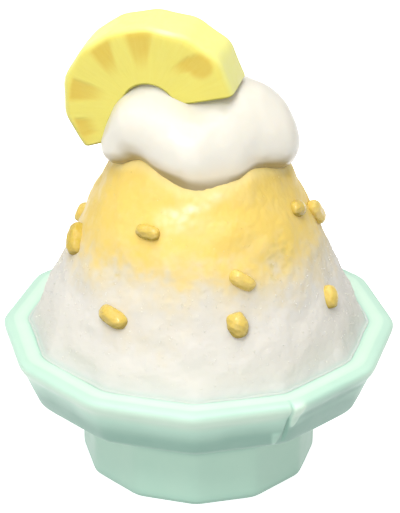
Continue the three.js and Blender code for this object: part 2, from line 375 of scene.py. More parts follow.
def three_colours(tree, share, low, middle, high):
    """A colour that runs through three as the share goes from 0 over a half to 1."""
    ramp = node(tree, "ShaderNodeValToRGB", {"Fac": share})
    stops = ramp.color_ramp.elements
    stops[0].color = (*low, 1.0)
    stops[1].color = (*high, 1.0)
    stops.new(0.5).color = (*middle, 1.0)
    return ramp.outputs["Color"]


def object_point(tree):
    return node(tree, "ShaderNodeTexCoord").outputs["Object"]


def painted(tree, name):
    return node(tree, "ShaderNodeAttribute", attribute_name=name).outputs["Fac"]


def tinted(tree, colour, tints):
    """Lays a tint over a colour at each painted place, the last on top."""
    for name, tint in tints.items():
        colour = mix_colour(tree, painted(tree, name), colour, tuple(tint))
    return colour


def cloud(tree, size, detail=3.0):
    """Noise with patches of about the given size, centred on a half."""
    return node(tree, "ShaderNodeTexNoise", {
        "Vector": object_point(tree), "Scale": 1.0 / size, "Detail": detail, "Roughness": 0.55,
    }).outputs["Fac"]


def drifting(tree, size, low, high, detail=3.0):
    """A value that drifts between two over patches of about the given size."""
    return spread(tree, cloud(tree, size, detail), 0.3, 0.7, low, high)


def unevenness(tree, size, amount):
    """Noise round zero, in patches of about the given size."""
    return math_node(tree, "MULTIPLY", math_node(tree, "SUBTRACT", cloud(tree, size), 0.5), amount)


def new_material(name, **sockets):
    """A material whose shader has these sockets set, with its tree and its shader."""
    material = bpy.data.materials.new(name)
    material.use_nodes = True
    tree = material.node_tree
    tree.nodes.clear()
    shader = tree.nodes.new("ShaderNodeBsdfPrincipled")
    output = tree.nodes.new("ShaderNodeOutputMaterial")
    tree.links.new(shader.outputs["BSDF"], output.inputs["Surface"])
    for socket, value in sockets.items():
        shader.inputs[socket.replace("_", " ")].default_value = value
    return material, tree, shader


def dress(tree, shader, colour, roughness):
    tree.links.new(colour, shader.inputs["Base Color"])
    tree.links.new(roughness, shader.inputs["Roughness"])


def bump(tree, shader, height, distance, strength):
    made = node(tree, "ShaderNodeBump", {"Height": height, "Distance": distance, "Strength": strength})
    tree.links.new(made.outputs["Normal"], shader.inputs["Normal"])


def effect_group(name, inputs, outputs):
    """An empty shader node group with its sockets, and its two end nodes."""
    group = bpy.data.node_groups.new(name, "ShaderNodeTree")
    for socket, kind, default in inputs:
        made = group.interface.new_socket(socket, in_out="INPUT", socket_type=kind)
        made.default_value = default
    for socket, kind in outputs:
        group.interface.new_socket(socket, in_out="OUTPUT", socket_type=kind)
    return group, group.nodes.new("NodeGroupInput"), group.nodes.new("NodeGroupOutput")


def mottle_group():
    """Two colours in soft uneven patches of a given size."""
    known = bpy.data.node_groups.get("soft_mottle")
    if known:
        return known
    group, given, result = effect_group("soft_mottle", [
        ("Colour", "NodeSocketColor", (0.8, 0.8, 0.8, 1.0)),
        ("Patch", "NodeSocketColor", (0.5, 0.5, 0.5, 1.0)),
        ("Scale", "NodeSocketFloat", 100.0),
        ("Amount", "NodeSocketFloat", 0.5),
    ], [("Colour", "NodeSocketColor")])
    noise = node(group, "ShaderNodeTexNoise", {
        "Vector": object_point(group), "Scale": given.outputs["Scale"], "Detail": 4.0, "Roughness": 0.6,
    })
    share = spread(group, noise.outputs["Fac"], 0.42, 0.68)
    share = math_node(group, "MULTIPLY", share, given.outputs["Amount"])
    colour = mix_colour(group, share, given.outputs["Colour"], given.outputs["Patch"])
    group.links.new(colour, result.inputs["Colour"])
    return group


def mottled(tree, colour, patch, size, amount):
    made = node(tree, "ShaderNodeGroup", node_tree=mottle_group())
    for name, value in (("Colour", colour), ("Patch", patch), ("Scale", 1.0 / size), ("Amount", amount)):
        link(tree, made.inputs[name], value)
    return made.outputs["Colour"]


def grain_group():
    """Height of a fine grain under a coarser one."""
    known = bpy.data.node_groups.get("fine_grain")
    if known:
        return known
    group, given, result = effect_group("fine_grain", [
        ("Scale", "NodeSocketFloat", 1000.0),
        ("Coarse share", "NodeSocketFloat", 0.5),
    ], [("Height", "NodeSocketFloat")])
    point = object_point(group)
    fine = node(group, "ShaderNodeTexNoise", {
        "Vector": point, "Scale": given.outputs["Scale"], "Detail": 2.0, "Roughness": 0.6,
    }).outputs["Fac"]
    wide = math_node(group, "MULTIPLY", given.outputs["Scale"], 0.3)
    coarse = node(group, "ShaderNodeTexNoise", {"Vector": point, "Scale": wide, "Detail": 2.0}).outputs["Fac"]
    rest = math_node(group, "SUBTRACT", 1.0, given.outputs["Coarse share"])
    height = math_node(group, "ADD", math_node(group, "MULTIPLY", fine, rest),
                       math_node(group, "MULTIPLY", coarse, given.outputs["Coarse share"]))
    group.links.new(height, result.inputs["Height"])
    return group


def grain(tree, size, coarse_share):
    made = node(tree, "ShaderNodeGroup", node_tree=grain_group())
    made.inputs["Scale"].default_value = 1.0 / size
    made.inputs["Coarse share"].default_value = coarse_share
    return made.outputs["Height"]


# ---------------------------------------------------------------------- bowl

# The bowl's outline from the middle underneath, out, over the rim and down to
# the middle of the floor: radius to the corners, height, and how far from the
# corner its rounding starts, in millimetres.
BOWL_OUTLINE = [
    (34.5, 18.0, 0.0), (39.5, 18.0, 4.8), (40.5, 1.0, 1.0), (41.5, 0.0, 0.6), (46.9, 0.0, 0.9),
    (48.5, 1.6, 1.1), (48.5, 27.5, 6.4), (58.0, 31.5, 4.0), (71.1, 38.4, 2.0), (74.2, 45.2, 3.4),
    (77.9, 54.0, 1.4), (83.3, 61.2, 7.5), (69.7, 60.6, 1.4), (68.6, 58.0, 1.2),
    (66.4, 50.0, 5.0), (62.0, 36.5, 8.0), (44.0, 29.2, 8.0), (26.0, 26.0, 6.0),
]
RECESS_HEIGHT = 18.0
FLOOR_HEIGHT = 26.0
OUTLINE_STEP = 1.1
COLUMN_STEP = 1.0                    # degrees between the bowl's columns
FINE_COLUMN_STEP = 0.2               # and where the glaze has run
BAND_START = 58.5                    # radius from which the outside is the thick band
RELIEF_START = 60.0                  # and from which it has the crease and the runs
WAVE_LENGTH = 24.0
WAVE_RISE = (0.5, 3.0)               # heights over which the waves set in above the resting ring
CREASE_TURN = 28.3                   # degrees round from the front
CREASE_WIDTH = 0.5
CREASE_DEPTH = 0.8
CREASE_TOP = 60.0
CREASE_BOTTOM = 40.0
# Pooled glaze in the crease, darkened further as painted shade.
CREASE_POOLING_AND_SHADE = 0.5
RUN_THINNING = 0.45
RUNS = [                             # runs of glaze: turn, top, bottom, half width, thickness
    (30.0, 60.5, 48.0, 2.3, 0.6), (25.7, 46.0, 38.8, 1.4, 0.4),
]
# How thin the glaze lies, with painted light and shade in the same share: lighter towards the band's top,
# painted shade towards its bottom, on the foot's top under the band and at the rim's inner edge. On the band
# and on the foot by height, and on top of the rim by radius.
BAND_GLAZE_AND_SHADE = [
    (38.3, 0.08), (39.9, 0.0), (43.2, 0.02), (44.9, 0.08), (46.6, 0.19), (48.3, 0.33), (50.5, 0.47),
    (52.7, 0.63), (54.1, 0.77), (55.2, 0.87), (58.5, 0.91), (60.0, 0.66),
]
FOOT_GLAZE_AND_SHADE = [
    (0.5, 0.2), (1.8, 0.25), (2.6, 0.42), (4.5, 0.55), (13.0, 0.58), (22.5, 0.62), (24.0, 0.54),
    (25.2, 0.3), (26.5, 0.17), (38.0, 0.1),
]
RIM_GLAZE_AND_SHADE = [(69.5, 0.22), (71.4, 0.84), (74.0, 0.92), (78.6, 0.72)]
# Patches of painted shade on the band, and one of painted light: turn, height, reach round, reach up, and how
# much lighter the glaze is painted, below nought for shade.
LIGHT_AND_SHADE_PATCHES = [
    (44.0, 50.0, 14.0, 8.0, -0.36), (40.0, 55.2, 12.0, 4.0, -0.38), (-46.0, 50.5, 9.0, 7.0, -0.22),
    (16.0, 49.0, 8.0, 5.0, -0.12), (75.0, 46.0, 9.0, 5.0, 0.14), (56.0, 55.0, 10.0, 3.0, -0.34),
]


def bowl_path():
    """The outline with its corners rounded, as radius and height in millimetres."""
    keys = np.array([(r, z) for r, z, _ in BOWL_OUTLINE])
    path = [keys[0]]
    for i in range(1, len(keys) - 1):
        rounding = BOWL_OUTLINE[i][2]
        back = (keys[i - 1] - keys[i]) / np.linalg.norm(keys[i - 1] - keys[i])
        on = (keys[i + 1] - keys[i]) / np.linalg.norm(keys[i + 1] - keys[i])
        t = np.linspace(0.0, 1.0, 5 + int(1.5 * rounding))[:, None]
        enter = keys[i] + back * rounding
        leave = keys[i] + on * rounding
        path.extend((1 - t) ** 2 * enter + 2 * t * (1 - t) * keys[i] + t ** 2 * leave)
    path.append(keys[-1])
    dense = [path[0]]
    for point in path[1:]:
        steps = max(1, math.ceil(np.linalg.norm(point - dense[-1]) / OUTLINE_STEP))
        start = dense[-1]
        dense.extend(start + (point - start) * k / steps for k in range(1, steps + 1))
    return np.array(dense)


def bowl_turns():
    """Angles of the bowl's columns, closer together where the glaze has run."""
    wide = np.arange(0.0, 360.0, COLUMN_STEP)
    fine = np.arange(CREASE_TURN - 5.0, CREASE_TURN + 4.0, FINE_COLUMN_STEP)
    wide = wide[(wide < fine[0] - 2 * FINE_COLUMN_STEP) | (wide > fine[-1] + 2 * FINE_COLUMN_STEP)]
    return np.radians(np.sort(np.concatenate([wide, fine])))


def flat_share(turns, sharpness):
    """How far the flats draw the corner radius in, for each angle; it is 1 at the corners."""
    middles = np.radians(np.arange(SIDES) * 360.0 / SIDES + 180.0 / SIDES)
    facing = np.clip(np.cos(turns[:, None] - middles), 0.0, 1.0)
    share = 1.0 / (facing ** sharpness).sum(axis=1) ** (1.0 / sharpness)
    return share / share.max()


def glaze_relief(turns, heights):
    """Outward relief in millimetres on the band, and the shares of its crease and runs of glaze."""
    turn, height = np.meshgrid(np.degrees(turns), heights)
    inside = smoothstep(CREASE_BOTTOM, CREASE_BOTTOM + 4, height)
    inside *= 1 - smoothstep(CREASE_TOP, CREASE_TOP + 1.5, height)
    crease = inside * np.exp(-((turn - CREASE_TURN) / CREASE_WIDTH) ** 2)
    lift = np.zeros_like(crease)
    for middle, top, bottom, half_width, thickness in RUNS:
        share = np.clip((height - bottom) / (top - bottom), 0.0, 1.0)
        width = half_width * np.sqrt(share) + 0.15
        along = smoothstep(bottom - 0.4, bottom + 1.0, height)
        along *= 1 - smoothstep(top - 1.5, top + 1.0, height)
        lift += thickness * along * np.exp(-((turn - middle) / width) ** 4)
    return lift - CREASE_DEPTH * crease, crease, np.clip(lift / 0.5, 0.0, 1.0)


def glaze_material(settings):
    material, tree, shader = new_material(
        "celadon_glaze", Roughness=0.4, Coat_Weight=0.15, Coat_Roughness=0.35, IOR=1.45)
    # The painted share runs from pooled glaze in painted shade to thin glaze in painted light.
    lit_thin = math_node(tree, "ADD", painted(tree, "thin_glaze"), unevenness(tree, 11 * MM, 0.12), clamp=True)
    colour = three_colours(tree, lit_thin, settings.shaded_pooled_glaze, settings.glaze, settings.thin_glaze)
    dress(tree, shader, colour, drifting(tree, 6 * MM, 0.36, 0.46))
    bump(tree, shader, grain(tree, 3.0 * MM, 0.8), 0.04 * MM, 0.4)
    return material


class DESSERT_OT_bowl(bpy.types.Operator):
    """Makes the twelve-sided footed bowl with its thick glazed band"""
    bl_idname = "dessert.bowl"
    bl_label = "Build bowl"

    def execute(self, context):
        settings = context.scene.dessert_bowl
        path = bowl_path()
        turns = bowl_turns()
        share = flat_share(turns, settings.corner_sharpness)
        outside = np.arange(len(path)) <= np.argmax(path[:, 1])
        relief, crease, lift = glaze_relief(turns, path[:, 1])
        on_band = (outside & (path[:, 0] > RELIEF_START))[:, None]
        radius = path[:, :1] * share + relief * on_band
        loops = turned(radius, path[:, 1:], turns)
        piece = tube("bowl_glazed", loops, on_axis(RECESS_HEIGHT), on_axis(FLOOR_HEIGHT))
        points = corners_of(piece.data)
        wave = bumps(points, WAVE_LENGTH * MM, 3) * settings.waviness * rising(WAVE_RISE, points[:, 2])
        move_corners(piece.data, points + normals_of(piece.data) * wave[:, None])
        lit_thin = self.glaze_light_and_shade(path, outside, turns, crease * on_band, lift * on_band)
        paint(piece.data, "thin_glaze", np.concatenate([lit_thin.ravel(), [lit_thin[0, 0], lit_thin[-1, 0]]]))
        hand_over(piece, glaze_material(settings), "celadon_glaze", "bowl")
        return {"FINISHED"}

    def glaze_light_and_shade(self, path, outside, turns, crease, lift):
        """How thin the glaze lies at each point, with painted light and shade: thinnest and lightest on the
        rim and the edges, pooled and in painted shade below the band.
        """
        radius, height = path.T
        band = np.interp(height, *np.array(BAND_GLAZE_AND_SHADE).T)
        foot = np.interp(height, *np.array(FOOT_GLAZE_AND_SHADE).T)
        rim = np.interp(radius, *np.array(RIM_GLAZE_AND_SHADE).T)
        base = np.where(outside, np.where(radius > BAND_START, band, foot), rim)
        lit_thin = np.repeat(base[:, None], len(turns), axis=1)
        on_band = outside & (radius > BAND_START)
        for turn, middle, reach_round, reach_up, share in LIGHT_AND_SHADE_PATCHES:
            round_share = np.exp(-((np.degrees(turns) - turn % 360) / reach_round) ** 4)
            up_share = np.exp(-((height - middle) / reach_up) ** 4) * on_band
            lit_thin += share * up_share[:, None] * round_share
        return np.clip(lit_thin + RUN_THINNING * lift - CREASE_POOLING_AND_SHADE * crease, 0.0, 1.0)


# ----------------------------------------------------------------------- ice

# Radius and height of the ice's slope from the bowl's mouth to the top, and of
# its hidden part down in the bowl, in millimetres.
ICE_SLOPE = [
    (71.4, 60.9), (69.3, 62.3), (62.6, 74.0), (53.0, 94.0), (44.4, 114.0),
    (33.6, 134.0), (24.5, 144.5), (12.5, 151.0), (0.0, 153.0),
]
ICE_IN_BOWL = [(24.0, 26.4), (43.7, 29.9), (58.0, 37.0), (66.0, 50.4), (69.2, 58.5), (70.6, 60.4)]
ICE_FLOOR = 26.4
ICE_COLUMNS = 420
ICE_ROWS = 186
MOUTH_HEIGHT = 60.6
ROUND_HEIGHT = 74.0
MOUTH_SHARPNESS = 60.0
SOCKET_REACH = 8.5                   # from a bit's middle, where its socket is closed again
SWELL_HEIGHT = 0.45
CRAG_DEPTH = 0.5
FLAKE_SEED = 4
SWELL_RISE = (58.0, 60.5)            # heights over which each of these sets in above the bowl's mouth
CLUMP_RISE = (60.8, 63.0)
FLAKE_RISE = (62.5, 66.0)
UPPER_SHADE_RISE = (74.0, 90.0)
RIM_EDGE_RISE = (60.6, 62.8)         # and over which the rim's green light on the ice fades out
RIM_SHADE_RISE = (60.5, 69.0)
FLAKES_TO_CREAM = (1.0, 3.0)         # how far the flakes keep away
FLAKES_TO_BIT = (5.5, 8.0)
LIP_GLOW_REACH = (0.5, 4.0)          # how far the cream's lip lights up the syrup by it
# The syrup's ragged edge: how far it runs up and down, size of its tongues, how upright they are, seed.
SYRUP_TONGUES = [(2.8, 15.0, 0.6, 11), (4.6, 6.5, 0.5, 12), (4.0, 3.0, 1.0, 13)]
# How far the syrup has soaked in, by millimetres above the height where it has half faded.
SYRUP_FADE = [(-14.0, 0.0), (-7.0, 0.22), (0.0, 0.5), (4.0, 0.7), (8.0, 0.87), (13.0, 1.0)]
LONG_FADE = (-20.0, 22.0, 0.9)       # turn and reach of a side with a longer fade, and how much longer
# Spots of painted highlight in the syrup, pale as on wet gloss: turn, height, reach round, reach up, share.
HIGHLIGHT_SPOTS = [
    (-3.5, 127.4, 5.0, 1.7, 1.0), (-12.0, 124.5, 9.0, 2.4, 0.75), (-19.0, 122.5, 5.0, 2.2, 0.4),
    (12.5, 131.5, 6.0, 1.8, 0.6), (4.0, 128.5, 6.0, 2.0, 0.4), (-12.0, 110.0, 8.0, 5.0, 0.14),
    (-8.0, 122.0, 12.0, 4.0, 0.3),
]
UPPER_SHADE_SIDE = (-14.0, 38.0)            # turn and reach of the side where the ice below the syrup gets painted shade
# Rough spots by the syrup's edge: turn, height, reach.
CRAGS = [(44.0, 108.0, 7.0), (39.0, 102.5, 5.0), (-42.0, 100.5, 5.0)]
GOLDEN_SYRUP = (0.86, 0.68, 0.31)    # the wide patches in the syrup
DEEP_SYRUP = (0.78, 0.60, 0.14)      # and the narrow ones
DRY_FLAKE = (0.765, 0.74, 0.675)
PALE_FLAKE = (0.86, 0.81, 0.68)
SOAKED_FLAKE = (0.85, 0.67, 0.22)
# damp and rim_shade are painted shade, rim_edge the rim's painted green reflection, wet a painted highlight
# and lip_glow painted light from the cream.
ICE_TINTS = {                        # colours of the ice's painted places
    "damp": (0.685, 0.655, 0.585), "crag": (0.70, 0.56, 0.17), "wet": (1.0, 0.95, 0.71),
    "lip_glow": (0.97, 0.83, 0.40), "rim_shade": (0.68, 0.685, 0.64), "rim_edge": (0.60, 0.68, 0.615),
}


def on_slope(turn, height):
    """The point of the ice's plain slope at a turn in radians and a height in millimetres."""
    out = np.interp(height, *np.array(ICE_SLOPE)[:, ::-1].T)
    return np.array((out * math.sin(turn), -out * math.cos(turn), height)) * MM


def blurred(field, times):
    """A field over the ice's rows and columns, smoothed; the columns run round."""
    for _ in range(times):
        field = (np.roll(field, 1, axis=1) + 2 * field + np.roll(field, -1, axis=1)) / 4
        padded = np.vstack([field[:1], field, field[-1:]])
        field = (padded[:-2] + 2 * padded[1:-1] + padded[2:]) / 4
    return field


def syrup_share(points, height):
    """How far the syrup has soaked in, from 0 to 1, with a long ragged edge."""
    level = (points[:, 2] - height) / MM
    for rise, size, upright, seed in SYRUP_TONGUES:
        level += rise * bumps(points * (1.0, 1.0, upright), size * MM, seed)
    side, reach, growth = LONG_FADE
    stretch = 1 + growth * np.exp(-((turns_of(points) - side) / reach) ** 2)
    level = np.where(level < 0, level / stretch, level)
    return np.interp(level, *np.array(SYRUP_FADE).T)


def highlight_share(points):
    """How strongly the painted highlight lies on the syrup at each point."""
    share = np.zeros(len(points))
    for turn, height, reach_round, reach_up, amount in HIGHLIGHT_SPOTS:
        off = np.hypot((turns_of(points) - turn) / reach_round, (points[:, 2] / MM - height) / reach_up)
        share = np.maximum(share, amount * np.exp(-off ** 2))
    return share


def crag_share(points):
    """How rough the ice is at each point."""
    share = np.zeros(len(points))
    for turn, height, reach in CRAGS:
        away = np.linalg.norm(points - on_slope(math.radians(turn), height), axis=1) / MM
        share = np.maximum(share, np.exp(-(away / reach) ** 4))
    return share


def bit_distance(points):
    """Distance of each point from the middle of the nearest fruit bit."""
    middles = [np.array((low + high) / 2) for low, high in map(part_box, BIT_NODES)]
    return np.min([np.linalg.norm(points - middle, axis=1) for middle in middles], axis=0)


def ice_material(settings):
    material, tree, shader = new_material(
        "syrup_ice", Subsurface_Weight=0.25, Subsurface_Scale=2 * MM, Subsurface_Radius=(1.0, 0.85, 0.6),
        Coat_Roughness=0.3, IOR=1.31)
    soaked = painted(tree, "syrup")
    ragged = math_node(tree, "MULTIPLY", unevenness(tree, 2.4 * MM, 0.16), spread(tree, soaked, 0.0, 0.2))
    share = math_node(tree, "ADD", soaked, ragged)
    rich = spread(tree, share, 0.5, 0.9)
    colour = three_colours(tree, share, settings.snow, settings.thin_syrup, settings.syrup)
    colour = mottled(tree, colour, GOLDEN_SYRUP, 12 * MM, math_node(tree, "MULTIPLY", rich, 0.3))
    colour = mottled(tree, colour, DEEP_SYRUP, 5 * MM, math_node(tree, "MULTIPLY", rich, 0.15))
    # How wet and glossy the syrup is, for its roughness and coat.
    wet = math_node(tree, "MULTIPLY", rich, spread(tree, cloud(tree, 9 * MM), 0.35, 0.58))
    dress(tree, shader, tinted(tree, colour, ICE_TINTS), spread(tree, wet, 0.0, 1.0, 0.6, 0.44))
    tree.links.new(math_node(tree, "MULTIPLY", wet, 0.12), shader.inputs["Coat Weight"])
    dry = math_node(tree, "SUBTRACT", 1.0, math_node(tree, "MULTIPLY", rich, 0.85))
    height = math_node(tree, "MULTIPLY", grain(tree, 1.0 * MM, 0.4), dry)
    bump(tree, shader, height, 0.14 * MM, 0.5)
    return material


def flake_material():
    material, tree, shader = new_material("loose_flakes", Roughness=0.65, IOR=1.31)
    soaked = spread(tree, painted(tree, "syrup"), 0.2, 0.8)
    colour = mix_colour(tree, soaked, DRY_FLAKE, SOAKED_FLAKE)
    colour = mottled(tree, colour, PALE_FLAKE, 5 * MM, 0.25)
    tree.links.new(colour, shader.inputs["Base Color"])
    bump(tree, shader, grain(tree, 0.4 * MM, 0.5), 0.05 * MM, 0.5)
    return material


class DESSERT_OT_ice(bpy.types.Operator):
    """Makes the heap of shaved ice, with its clumps, grain and soaked-in syrup"""
    bl_idname = "dessert.ice"
    bl_label = "Build ice"

    def execute(self, context):
        settings = context.scene.dessert_ice
        slope = spline(ICE_SLOPE, ICE_ROWS + 1)[:-1]
        path = np.vstack([ICE_IN_BOWL, slope])
        turns = np.linspace(0.0, 2 * math.pi, ICE_COLUMNS, endpoint=False)
        flats = flat_share(turns, MOUTH_SHARPNESS)
        flatness = 1 - smoothstep(MOUTH_HEIGHT, ROUND_HEIGHT, path[:, 1])[:, None]
        radius = path[:, :1] * (1 + flatness * (flats - 1))
        loops = turned(radius, path[:, 1:], turns)
        piece = tube("ice_heap", loops, on_axis(ICE_FLOOR), on_axis(ICE_SLOPE[-1][1]))
        points = corners_of(piece.data)
        crag = crag_share(points)
        rough = np.abs(bumps(points, 2.6 * MM, 25))
        relief = self.own_relief(settings, points[:-2], crag[:-2] * rough[:-2])
        normals = normals_of(piece.data)[:-2]
        relief += self.solid_relief(points[:-2], normals, loops.shape[:2])
        points[:-2] += normals * relief[:, None]
        move_corners(piece.data, points)
        for name, share in self.painted_shares(context, points, crag * smoothstep(0.15, 0.7, rough)):
            paint(piece.data, name, share)
        hand_over(piece, ice_material(settings), "shaved_ice", "shaved_ice")
        return {"FINISHED"}

    def own_relief(self, settings, points, craggy):
        """Height of the swells, clumps and grain that are finer than the fixed solid's."""
        above = rising(CLUMP_RISE, points[:, 2])
        swell = rising(SWELL_RISE, points[:, 2]) * bumps(points, 9 * MM, 24)
        clumps = np.abs(bumps(points, 5.5 * MM, 21)) + 0.6 * np.abs(bumps(points, 2.8 * MM, 22))
        relief = SWELL_HEIGHT * MM * swell - CRAG_DEPTH * MM * craggy
        relief += above * settings.clump_depth * (1.4 * clumps - 0.6)
        return relief + above * settings.grain_depth * bumps(points, 1.3 * MM, 23)

    def painted_shares(self, context, points, crag):
        """Each painted place by its name, with its share at every point."""
        height = points[:, 2]
        syrup = syrup_share(points, context.scene.dessert_ice.syrup_height)
        cream = cream_distance(points, cream_lobes(context.scene.dessert_cream))
        # Painted shade on the upper bare ice at the front, below the syrup.
        damp = np.exp(-((turns_of(points) - UPPER_SHADE_SIDE[0]) / UPPER_SHADE_SIDE[1]) ** 2)
        damp *= rising(UPPER_SHADE_RISE, height) * (1 - smoothstep(0.1, 0.7, syrup))
        # Flakes lie on the ice, but neither under the cream nor by the bits or the rim, and few in the syrup.
        bare = rising(FLAKE_RISE, height) * rising(FLAKES_TO_CREAM, cream)
        bare *= rising(FLAKES_TO_BIT, bit_distance(points))
        bare *= 1 - 0.9 * smoothstep(0.3, 0.75, syrup)
        return [
            ("syrup", syrup), ("damp", damp), ("crag", 0.6 * crag), ("bare", bare),
            # A painted highlight on the wet syrup.
            ("wet", highlight_share(points) * (0.75 + 0.5 * bumps(points, 2.5 * MM, 26)).clip(0, 1)),
            ("lip_glow", 0.5 * (1 - rising(LIP_GLOW_REACH, cream))),
            ("rim_shade", 1 - rising(RIM_SHADE_RISE, height)),
            ("rim_edge", 1 - rising(RIM_EDGE_RISE, height)),
        ]

    def solid_relief(self, points, normals, shape):
        """Height of the fixed solid's own clumps over the plain slope, with the bits' sockets closed."""
        copy = merged_copy("shaved_ice")
        tree = BVHTree.FromBMesh(copy)
        nearest = np.array([tree.find_nearest(Vector(p))[0] for p in points])
        copy.free()
        height = ((nearest - points) * normals).sum(axis=1).reshape(shape)
        open_ice = (bit_distance(points) > SOCKET_REACH * MM).reshape(shape)
        filled = blurred(height * open_ice, 6) / np.maximum(blurred(open_ice.astype(float), 6), 1e-6)
        for _ in range(12):
            filled = np.where(open_ice, height, blurred(filled, 10))
        return blurred(filled, 7).ravel()


def flake_tree():
    """Scatters little uneven flakes over the bare parts of a surface."""
    tree = bpy.data.node_groups.new("scattered_flakes", "GeometryNodeTree")
    sockets = {}
    for name, kind in (("Geometry", "NodeSocketGeometry"), ("Density", "NodeSocketFloat"),
                       ("Flake size", "NodeSocketFloat"), ("Seed", "NodeSocketInt"),
                       ("Material", "NodeSocketMaterial")):
        sockets[name] = tree.interface.new_socket(name, in_out="INPUT", socket_type=kind).identifier
    tree.interface.new_socket("Geometry", in_out="OUTPUT", socket_type="NodeSocketGeometry")
    given = tree.nodes.new("NodeGroupInput").outputs
    bare = node(tree, "GeometryNodeInputNamedAttribute", {"Name": "bare"}, data_type="FLOAT")
    syrup = node(tree, "GeometryNodeInputNamedAttribute", {"Name": "syrup"}, data_type="FLOAT")
    density = math_node(tree, "MULTIPLY", bare.outputs["Attribute"], given["Density"])
    points = node(tree, "GeometryNodeDistributePointsOnFaces", {
        "Mesh": given["Geometry"], "Density": density, "Seed": given["Seed"]})
    kept = node(tree, "GeometryNodeCaptureAttribute")
    kept.capture_items.new("FLOAT", "syrup")
    tree.links.new(points.outputs["Points"], kept.inputs["Geometry"])
    tree.links.new(syrup.outputs["Attribute"], kept.inputs["syrup"])
    flake = node(tree, "GeometryNodeMeshIcoSphere", {"Radius": 1.0, "Subdivisions": 1})
    turn = node(tree, "FunctionNodeRandomValue", {"Max": (6.283, 6.283, 6.283)}, data_type="FLOAT_VECTOR")
    shape = node(tree, "FunctionNodeRandomValue",
                 {"Min": (0.25, 0.2, 0.12), "Max": (0.85, 0.6, 0.35)}, data_type="FLOAT_VECTOR")
    size = node(tree, "ShaderNodeVectorMath", {0: shape.outputs["Value"]}, operation="SCALE")
    tree.links.new(given["Flake size"], size.inputs["Scale"])
    spread_out = node(tree, "GeometryNodeInstanceOnPoints", {
        "Points": kept.outputs["Geometry"], "Instance": flake.outputs["Mesh"],
        "Rotation": turn.outputs["Value"], "Scale": size.outputs["Vector"]})
    whole = node(tree, "GeometryNodeRealizeInstances", {"Geometry": spread_out.outputs["Instances"]})
    stored = node(tree, "GeometryNodeStoreNamedAttribute", {
        "Geometry": whole.outputs["Geometry"], "Name": "syrup", "Value": kept.outputs["syrup"]},
        data_type="FLOAT", domain="POINT")
    dressed = node(tree, "GeometryNodeSetMaterial", {
        "Geometry": stored.outputs["Geometry"], "Material": given["Material"]})
    result = tree.nodes.new("NodeGroupOutput")
    tree.links.new(dressed.outputs["Geometry"], result.inputs["Geometry"])
    return tree, sockets


class DESSERT_OT_flakes(bpy.types.Operator):
    """Scatters loose flakes of ice over the heap"""
    bl_idname = "dessert.flakes"
    bl_label = "Scatter flakes"

    def execute(self, context):
        settings = context.scene.dessert_ice
        heap = bpy.data.objects["ice_heap"]
        material = flake_material()
        tree, sockets = flake_tree()
        base = add_object("flake_base", heap.data.copy())
        modifier = base.modifiers.new("flakes", "NODES")
        modifier.node_group = tree
        modifier[sockets["Density"]] = settings.flake_density
        modifier[sockets["Flake size"]] = settings.flake_size
        modifier[sockets["Seed"]] = FLAKE_SEED
        modifier[sockets["Material"]] = material
        mesh = finished_mesh(base)
        bpy.data.objects.remove(base)
        mesh.name = "ice_flakes"
        hand_over(add_object("ice_flakes", mesh), material, "shaved_ice")
        return {"FINISHED"}


# --------------------------------------------------------------------- cream

CREAM_CENTRE = (-1.0, -2.0, 148.0)
CREAM_REACH = 60.0
CREAM_CLOSE = 1e-6                   # metres from the surface at which a point counts as on it
SHADE_GAP = 3.8                      # how far off the ice the shade in the cream's foot begins
SHADE_GROWTH = 0.17                  # how much it grows with each millimetre nearer
SHADE_TILT = 0.08                    # how far the cream has to face down to be shaded
SHADE_FULL = 0.55
MOTTLED_CREAM = (0.77, 0.73, 0.62)
# low is a painted warm reflection of the syrup with painted shade near the ice; under is painted shade where
# the cream faces down by it.
CREAM_TINTS = {"low": (0.79, 0.71, 0.545), "under": (0.375, 0.29, 0.135)}
LIP = [                              # height and radius of the lip, every 30 degrees from the front
    (144.8, 6.9), (141.2, 3.1), (144.6, 4.6), (135.9, 4.9), (142.7, 7.0), (141.0, 6.5),
    (141.5, 6.5), (144.0, 6.5), (142.1, 6.5), (143.7, 5.0), (151.3, 4.5), (145.0, 3.5),
]
LOBES = [                            # middle and radius, in millimetres
    ((1.0, 2.0, 145.0), 16.0), ((-14.7, -3.1, 157.3), 10.6), ((-15.8, 6.0, 155.0), 13.0),
    ((-25.6, -15.2, 153.4), 5.7), ((-31.7, -11.9, 141.5), 3.8), ((23.6, -0.5, 151.1), 11.5),
    ((30.5, -9.6, 143.2), 5.6), ((2.0, -20.9, 131.2), 10.8), ((-8.2, -20.5, 148.2), 7.0),
    ((-10.0, 19.0, 147.0), 12.0), ((8.0, 6.0, 153.5), 10.5), ((13.9, -6.5, 155.2), 4.5),
    ((9.8, -14.4, 147.4), 8.5),
]


def cream_lobes(settings):
    """Every round lobe of the cream, the lip's first, as middle, radius and blend in metres."""
    lobes = []
    for i, (height, radius) in enumerate(LIP):
        lobes.append((on_slope(2 * math.pi * i / len(LIP), height), radius * MM, settings.lip_blend))
    lobes.extend((np.array(middle) * MM, radius * MM, settings.body_blend) for middle, radius in LOBES)
    return lobes


def cream_distance(points, lobes):
    """Distance of each point from the cream's surface, outwards."""
    distance = np.full(len(points), 1.0)
    for middle, radius, blend in lobes:
        following = np.linalg.norm(points - middle, axis=1) - radius
        overlap = np.clip(1 - np.abs(distance - following) / blend, 0.0, None)
        distance = np.minimum(distance, following) - overlap ** 2 * blend / 4
    return distance


